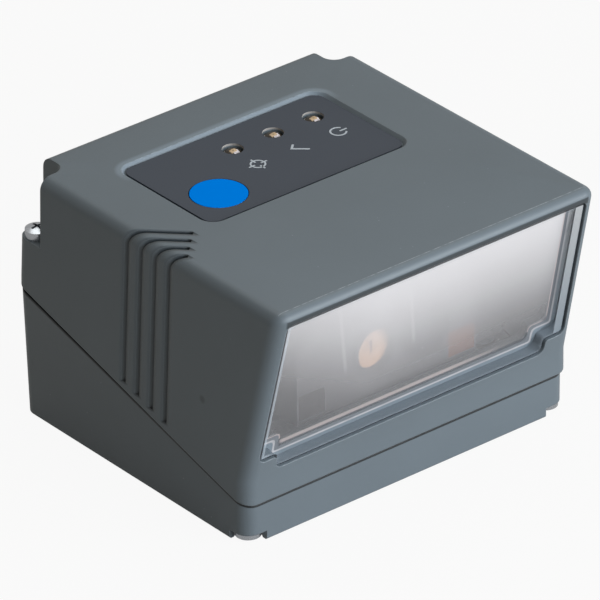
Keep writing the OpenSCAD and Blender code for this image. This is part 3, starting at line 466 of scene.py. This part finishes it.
def pane_front(t, x, up, half, corner, edge, grey):
    """Colour and cover of the pane's front: painted shade in the joint round it, a painted
    highlight on its lip, and a band on the right painted pale as the pane's lit edge
    """
    joint = t.math("MINIMUM", edge, t.minus(t.math("ADD", half, x), 0.24))
    joint = t.math("MINIMUM", joint, t.minus(WINDOW_HIGH - 0.36, up))
    # Painted shade in the joint, a painted highlight on the lip, and a band painted pale as the lit
    # edge
    gap = t.span(joint, 0.22, 0.28, 1.0, 0.0)
    lip_highlight = t.times(t.inside(joint, 0.28, 0.62, 0.04), t.span(x, -21.0, -20.0, 0.42, 0.12))
    band = t.mask(t.span(t.minus(half, x), 1.3, 1.4, 0.85, 0.0), t.span(corner, 0.3, 0.4))
    tone = t.mix(gap, t.mix(band, srgb(196, 204, 212), grey), srgb(40, 45, 52))
    marks = t.math("MAXIMUM", t.times(gap, 0.9), lip_highlight)
    cover = t.math("MAXIMUM", marks, t.math("MAXIMUM", band, 0.04))
    return tone, t.times(cover, t.flip(t.add("LightPath").outputs["Is Shadow Ray"]))


def window_material():
    """Clear pane with painted shade in the joint round it, and on its back a painted sheen, a
    reflection that fades towards the foot and the left"""
    t = Tree("clear_pane")
    x, up, deep, half, corner, edge = window_edge(t)
    wall = t.math("GREATER_THAN", deep, PANE_FRONT)
    back = t.math("GREATER_THAN", deep, PANE_BACK)
    grey = rim_tone(t, up)
    back_tone, back_alpha = pane_back(t, x, up, edge)
    front_tone, front_alpha = pane_front(t, x, up, half, corner, edge, grey)
    front_alpha = t.mix(wall, front_alpha, (0.75, 0.75, 0.75, 1))
    t.set(Base_Color=t.mix(back, t.mix(wall, front_tone, grey), back_tone), Roughness=0.08,
          Alpha=t.mix(back, front_alpha, back_alpha), Specular_IOR_Level=0.5)
    t.bump(t.noise(400, 2), 0.05, 0.00001)
    return t


def clear(name, colour, alpha, rough):
    """Glass or clear plastic of one tint"""
    t = Tree(name)
    drift = t.noise(600, 2)
    t.set(Base_Color=t.ramp(drift, (0.3, tuple(c * 0.92 for c in colour[:3])), (0.7, colour)),
          Roughness=rough, Specular_IOR_Level=0.2, Alpha=alpha)
    t.bump(drift, 0.02, 0.00001)
    return t


def lamp_glass_material():
    """Smoked cover of a lamp, tinted amber on the right one"""
    t = clear("lamp_glass", srgb(112, 60, 34), 0.8, 0.35)
    right = t.math("GREATER_THAN", t.axis("X"), 0.0)
    t.set(Base_Color=t.mix(right, srgb(44, 38, 38), t.base()))
    return t


def inner_plastic(name, colour):
    """Dark moulding of the optics whose corners get a painted highlight, a little paler than its
    faces
    """
    t = plastic(name, colour, 0.6, 5000, 0.02, 0.02, 0, 0.25)
    t.set(Base_Color=t.mix(t.times(edges(t, 0.00012), 0.35), t.base(), srgb(150, 152, 158)))
    return t


def overlay_material():
    """Dark film with painted shade in a line along its sunk edge, and paler walls in the light
    holes
    """
    t = plastic("overlay_film", srgb(68, 73, 82), 0.5, 7000, 0.12, 0.04, 0.00005, 0.25)
    x, u, z = t.spot()
    # Painted shade in a dark line along the sunk edge
    line = t.mask(t.span(past_panel(t, x, u), -0.42, -0.3),
                  t.math("GREATER_THAN", u, PANEL_U - 6.5))
    wall = t.mask(t.span(z, OVERLAY_Z - 0.03, OVERLAY_Z - 0.01, 1.0, 0.0),
                  t.inside(u, LIGHT_U - 1.5, LIGHT_U + 1.5), t.math("LESS_THAN", t.size(x), 12.0))
    t.set(Base_Color=t.mix(wall, t.mix(line, t.base(), srgb(28, 31, 36)), srgb(176, 170, 164)))
    return t


def board_material():
    """Green board with a faint pattern of tracks"""
    t = plastic("board_green", srgb(38, 96, 62), 0.35, 3000, 0.2, 0.12, 0.00004, 0.5)
    track = t.add("TexBrick", Scale=900, offset=0.5)
    track.inputs["Mortar Size"].default_value = 0.04
    t.join(t.place(), track.inputs["Vector"])
    t.set(Base_Color=t.mix(t.times(track.outputs["Fac"], 0.5), t.base(), srgb(70, 130, 88)))
    return t


def light_material():
    """Light guide that shows the dark well, the pale lamp body and the tan chip under it, with a
    painted highlight on one side of the well's rim
    """
    t = Tree("light_guide")
    box = t.add("SeparateXYZ")
    t.join(t.add("TexCoord").outputs["Generated"], box.inputs[0])
    x, y = (t.times(t.minus(box.outputs[name], 0.5), LIGHT_BOX) for name in "XY")
    # Painted highlight on one side of the well's rim
    rim_highlight_side = t.span(t.math("ADD", y, t.times(x, -0.2)), 0.1, 0.45)
    tone = t.mix(t.noise(2500, 2), srgb(58, 52, 46), srgb(84, 76, 68))
    tone = t.mix(t.times(t.span(t.length(x, y), 0.9, 0.98), rim_highlight_side), tone, srgb(206, 198, 192))
    body = t.times(t.inside(x, -0.3, 0.5), t.inside(y, -0.75, -0.2))
    tone = t.mix(body, tone, srgb(236, 226, 228))
    chip = t.times(t.inside(x, -0.5, 0.3), t.inside(y, -0.5, 0.1))
    tone = t.mix(chip, tone, srgb(208, 178, 142))
    core = t.times(t.inside(x, -0.22, 0.02), t.inside(y, -0.3, -0.1))
    tone = t.mix(t.times(core, 0.6), tone, srgb(120, 100, 70))
    t.set(Base_Color=tone, Roughness=0.35, Specular_IOR_Level=0.2)
    t.bump(t.noise(4000, 2), 0.1, 0.00001, 0.00005)
    return t


# The material tree of each slot
finishes = {
    "shell": shell_material(),
    "overlay": overlay_material(),
    "blue_key": plastic("key_blue", srgb(0, 138, 248), 0.6, 6000, 0.1, 0.02, 0.00008, 0.0),
    "seal_rubber": plastic("rubber_black", srgb(38, 38, 40), 0.62, 5000, 0.3, 0.1, 0.00012, 0.3),
    "bond_grey": bond_material(),
    "screw_steel": metal("steel_plated", srgb(190, 193, 198), 0.28),
    "clear_window": window_material(),
    "light_guide": light_material(),
    "lens_glass": clear("lens_glass", srgb(44, 48, 60), 0.6, 0.45),
    "black_plastic": inner_plastic("plastic_black", srgb(16, 16, 17)),
    "black_metal": inner_plastic("casting_black", srgb(70, 67, 69)),
    "board_green": board_material(),
    "chip_black": plastic("chip_black", srgb(48, 48, 50), 0.55, 5000, 0.3, 0.08, 0.00004, 0.3),
    "ribbon_amber": plastic("ribbon_amber", srgb(196, 130, 44), 0.35, 3000, 0.1, 0.06,
                            0.00003, 0.5),
    "amber_disc": plastic("disc_amber", srgb(218, 162, 116), 0.45, 5000, 0.15, 0.05,
                          0.00004, 0.4),
    "lamp_amber": plastic("lamp_amber", srgb(214, 120, 60), 0.4, 5000, 0.1, 0.05, 0.00004, 0.4),
    "lamp_glass": lamp_glass_material(),
    "capacitor_metal": metal("metal_can", srgb(200, 202, 206), 0.3),
    "connector_plastic": plastic("plastic_ivory", srgb(224, 218, 200), 0.5, 4000, 0.2, 0.04,
                                 0.00005, 0.4),
    "insert_brass": metal("brass", srgb(214, 178, 104), 0.3),
}
materials = {name: tree.material for name, tree in finishes.items()}


def smooth_by_angle(angle):
    """Modifier tree that joins a CAD mesh's split corners and shades it smooth under an angle"""
    group = bpy.data.node_groups.new("smooth_by_angle", "GeometryNodeTree")
    for way in ("INPUT", "OUTPUT"):
        group.interface.new_socket("Geometry", in_out=way, socket_type="NodeSocketGeometry")
    start, end = group.nodes.new("NodeGroupInput"), group.nodes.new("NodeGroupOutput")
    merge = group.nodes.new("GeometryNodeMergeByDistance")
    merge.inputs["Distance"].default_value = SPLIT_REACH
    drop = group.nodes.new("GeometryNodeRemoveAttribute")
    drop.inputs["Name"].default_value = "custom_normal"
    faces = group.nodes.new("GeometryNodeSetShadeSmooth")
    sharp = group.nodes.new("GeometryNodeSetShadeSmooth")
    sharp.domain = "EDGE"
    bend = group.nodes.new("GeometryNodeInputMeshEdgeAngle")
    less = group.nodes.new("FunctionNodeCompare")
    less.operation = "LESS_THAN"
    less.inputs["B"].default_value = angle
    link = group.links.new
    link(bend.outputs["Unsigned Angle"], less.inputs["A"])
    link(less.outputs[0], sharp.inputs["Shade Smooth"])
    chain = (start, merge, drop, faces, sharp, end)
    for one, two in zip(chain, chain[1:]):
        link(one.outputs[0], two.inputs[0])
    return group


smooth = smooth_by_angle(SMOOTH_BEND)

# Pieces whose look isn't the one of their slot
other_finish = {"lamp_lens_left": "lamp_glass", "lamp_lens_right": "lamp_glass",
                "engine_bracket": "black_metal", "engine_screws": "black_metal",
                "bracket_screws": "black_metal", "aimer_emitter": "black_metal"}
slot_of = {entry["node"]: entry["material_slot"] for entry in frame["record"]["subparts"]}
for name, obj in nodes.items():
    finish = other_finish.get(name, slot_of[name])
    for place in obj.material_slots:
        place.material = materials[finish]
    modifier = obj.modifiers.new("smooth", "NODES")
    modifier.node_group = smooth


# Printed signs beside the lights
def stroke(bm, points, width=STROKE, closed=False):
    """A flat band of one width along a line of points"""
    n = len(points)
    left, right = [], []
    for i, p in enumerate(points):
        before = points[i - 1] if i or closed else None
        after = points[(i + 1) % n] if i < n - 1 or closed else None
        steps = ((before, p), (p, after))
        ways = [(b - a).normalized() for a, b in steps if a is not None and b is not None]
        side = sum((Vector((-w.y, w.x)) for w in ways), Vector((0, 0))).normalized()
        reach = width / 2 / max(0.5, side.dot(Vector((-ways[0].y, ways[0].x))))
        left.append(bm.verts.new((p.x + side.x * reach, p.y + side.y * reach, 0)))
        right.append(bm.verts.new((p.x - side.x * reach, p.y - side.y * reach, 0)))
    for i in range(n if closed else n - 1):
        j = (i + 1) % n
        bm.faces.new((left[i], right[i], right[j], left[j]))


def arc(radius, start, end, steps=28):
    """Points along an arc between two angles in degrees"""
    angles = (math.radians(start + (end - start) * i / steps) for i in range(steps + 1))
    return [Vector((radius * math.cos(a), radius * math.sin(a))) for a in angles]


def sign_aim(bm):
    """Circle with four short arms across it"""
    stroke(bm, arc(0.62, 0, 360)[:-1], closed=True)
    for a in (0, 90, 180, 270):
        way = Vector((math.cos(math.radians(a)), math.sin(math.radians(a))))
        stroke(bm, [way * 0.32, way * 0.95])


def sign_tick(bm):
    """Short arm down and a longer one up"""
    stroke(bm, [Vector((-0.7, 0.0)), Vector((-0.2, -0.55)), Vector((0.8, 0.6))], TICK_STROKE)


def sign_power(bm):
    """Open ring with a bar in its gap"""
    stroke(bm, arc(0.68, 125, 415))
    stroke(bm, [Vector((0, 0.15)), Vector((0, 0.9))])


def add_sign(name, draw, x, ink):
    """A printed sign beside its light, turned to read along the panel's depth"""
    bm = bmesh.new()
    draw(bm)
    centre = Matrix.Translation(mm(x - SIGN_SIDE, LIGHT_U - SIGN_OUT, OVERLAY_Z + INK_LIFT))
    turn = Matrix.Rotation(math.radians(-90), 4, "Z")
    place = centre @ turn @ Matrix.Scale(SIGN_SCALE * MM, 4)
    bmesh.ops.transform(bm, matrix=place, verts=bm.verts)
    bmesh.ops.recalc_face_normals(bm, faces=bm.faces)
    mesh = bpy.data.meshes.new(name)
    bm.to_mesh(mesh)
    bm.free()
    mesh.materials.append(ink)
    obj = bpy.data.objects.new(name, mesh)
    bpy.context.scene.collection.objects.link(obj)
    skin = obj.modifiers.new("thickness", "SOLIDIFY")
    skin.thickness = INK_THICK * MM
    skin.offset = 1
    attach(obj, "case")


ink = plastic("ink_pale", srgb(196, 202, 208), 0.5, 9000, 0.1, 0.05, 0, 0.3).material
signs = (("sign_aim", sign_aim), ("sign_tick", sign_tick), ("sign_power", sign_power))
for (name, draw), x in zip(signs, LIGHT_X):
    add_sign(name, draw, x, ink)


# Floor, backdrop and light
def add_floor():
    """Pale floor a hair under the foot, glowing to the eye, and clear from below"""
    mesh = bpy.data.meshes.new("floor")
    bm = bmesh.new()
    bmesh.ops.create_grid(bm, x_segments=8, y_segments=8, size=1.5)
    bm.to_mesh(mesh)
    bm.free()
    floor = bpy.data.objects.new("floor", mesh)
    bpy.context.scene.collection.objects.link(floor)
    t = Tree("floor_pale")
    pale = t.ramp(t.noise(3, 2), (0.3, srgb(176, 173, 168)), (0.7, srgb(182, 179, 174)))
    t.set(Base_Color=pale, Roughness=0.9, Specular_IOR_Level=0.1)
    glow = t.add("Emission", Color=(1, 1, 1, 1), Strength=1.0)
    path = t.add("LightPath")
    seen = t.math("MAXIMUM", path.outputs["Is Camera Ray"], path.outputs["Is Transmission Ray"])
    share = t.math("ADD", t.times(seen, 0.93), t.times(path.outputs["Is Glossy Ray"], 0.3))
    mixed = t.add("MixShader")
    t.join(share, mixed.inputs[0])
    t.join(t.shader.outputs[0], mixed.inputs[1])
    t.join(glow.outputs[0], mixed.inputs[2])
    below = t.add("MixShader")
    t.join(t.add("NewGeometry").outputs["Backfacing"], below.inputs[0])
    t.join(mixed.outputs[0], below.inputs[1])
    t.join(t.add("BsdfTransparent").outputs[0], below.inputs[2])
    t.join(below.outputs[0], t.tree.nodes["Material Output"].inputs["Surface"])
    mesh.materials.append(t.material)
    floor.location.z = FLOOR_Z


def add_lamp(name, towards, distance, size, power, colour):
    """Area lamp in a direction from the part's middle, turned to face it"""
    data = bpy.data.lights.new(name, "AREA")
    data.shape = "RECTANGLE"
    data.size, data.size_y = size
    data.energy = power
    data.color = colour
    lamp = bpy.data.objects.new(name, data)
    bpy.context.scene.collection.objects.link(lamp)
    way = Vector(towards).normalized()
    lamp.location = Vector(PART_MIDDLE) + way * distance
    lamp.rotation_euler = way.to_track_quat("Z", "Y").to_euler()


def add_world():
    """Soft warm light, with plain white behind the part for what the camera sees"""
    world = bpy.data.worlds.new("studio")
    bpy.context.scene.world = world
    world.use_nodes = True
    tree = world.node_tree
    add, link = tree.nodes.new, tree.links.new
    soft = tree.nodes["Background"]
    soft.inputs["Color"].default_value = (1.0, 0.92, 0.78, 1)
    soft.inputs["Strength"].default_value = 0.12
    white = add("ShaderNodeBackground")
    white.inputs["Color"].default_value = (1, 1, 1, 1)
    white.inputs["Strength"].default_value = 1.0
    path = add("ShaderNodeLightPath")
    seen = add("ShaderNodeMath")
    seen.operation = "MAXIMUM"
    link(path.outputs["Is Camera Ray"], seen.inputs[0])
    link(path.outputs["Is Transmission Ray"], seen.inputs[1])
    gloss = add("ShaderNodeMath")
    gloss.operation = "MULTIPLY_ADD"
    gloss.inputs[1].default_value = 0.45
    link(path.outputs["Is Glossy Ray"], gloss.inputs[0])
    link(seen.outputs[0], gloss.inputs[2])
    mixed = add("ShaderNodeMixShader")
    link(gloss.outputs[0], mixed.inputs[0])
    link(soft.outputs[0], mixed.inputs[1])
    link(white.outputs[0], mixed.inputs[2])
    link(mixed.outputs[0], tree.nodes["World Output"].inputs["Surface"])


add_floor()
add_world()

# Name, direction, distance, size, power and colour of each lamp
lamps = (("key", (0.2, -0.85, 0.35), 0.45, (0.48, 0.38), 2.65, (0.86, 0.93, 1.0)),
         ("side", (0.6, -0.8, 0.2), 0.5, (0.12, 0.12), 0.35, (0.95, 0.97, 1.0)),
         ("top", (0.25, 0.3, 1.0), 0.6, (0.5, 0.4), 1.1, (0.97, 1.0, 0.98)))
for lamp in lamps:
    add_lamp(*lamp)

view = bpy.context.scene.view_settings
view.view_transform = "Standard"
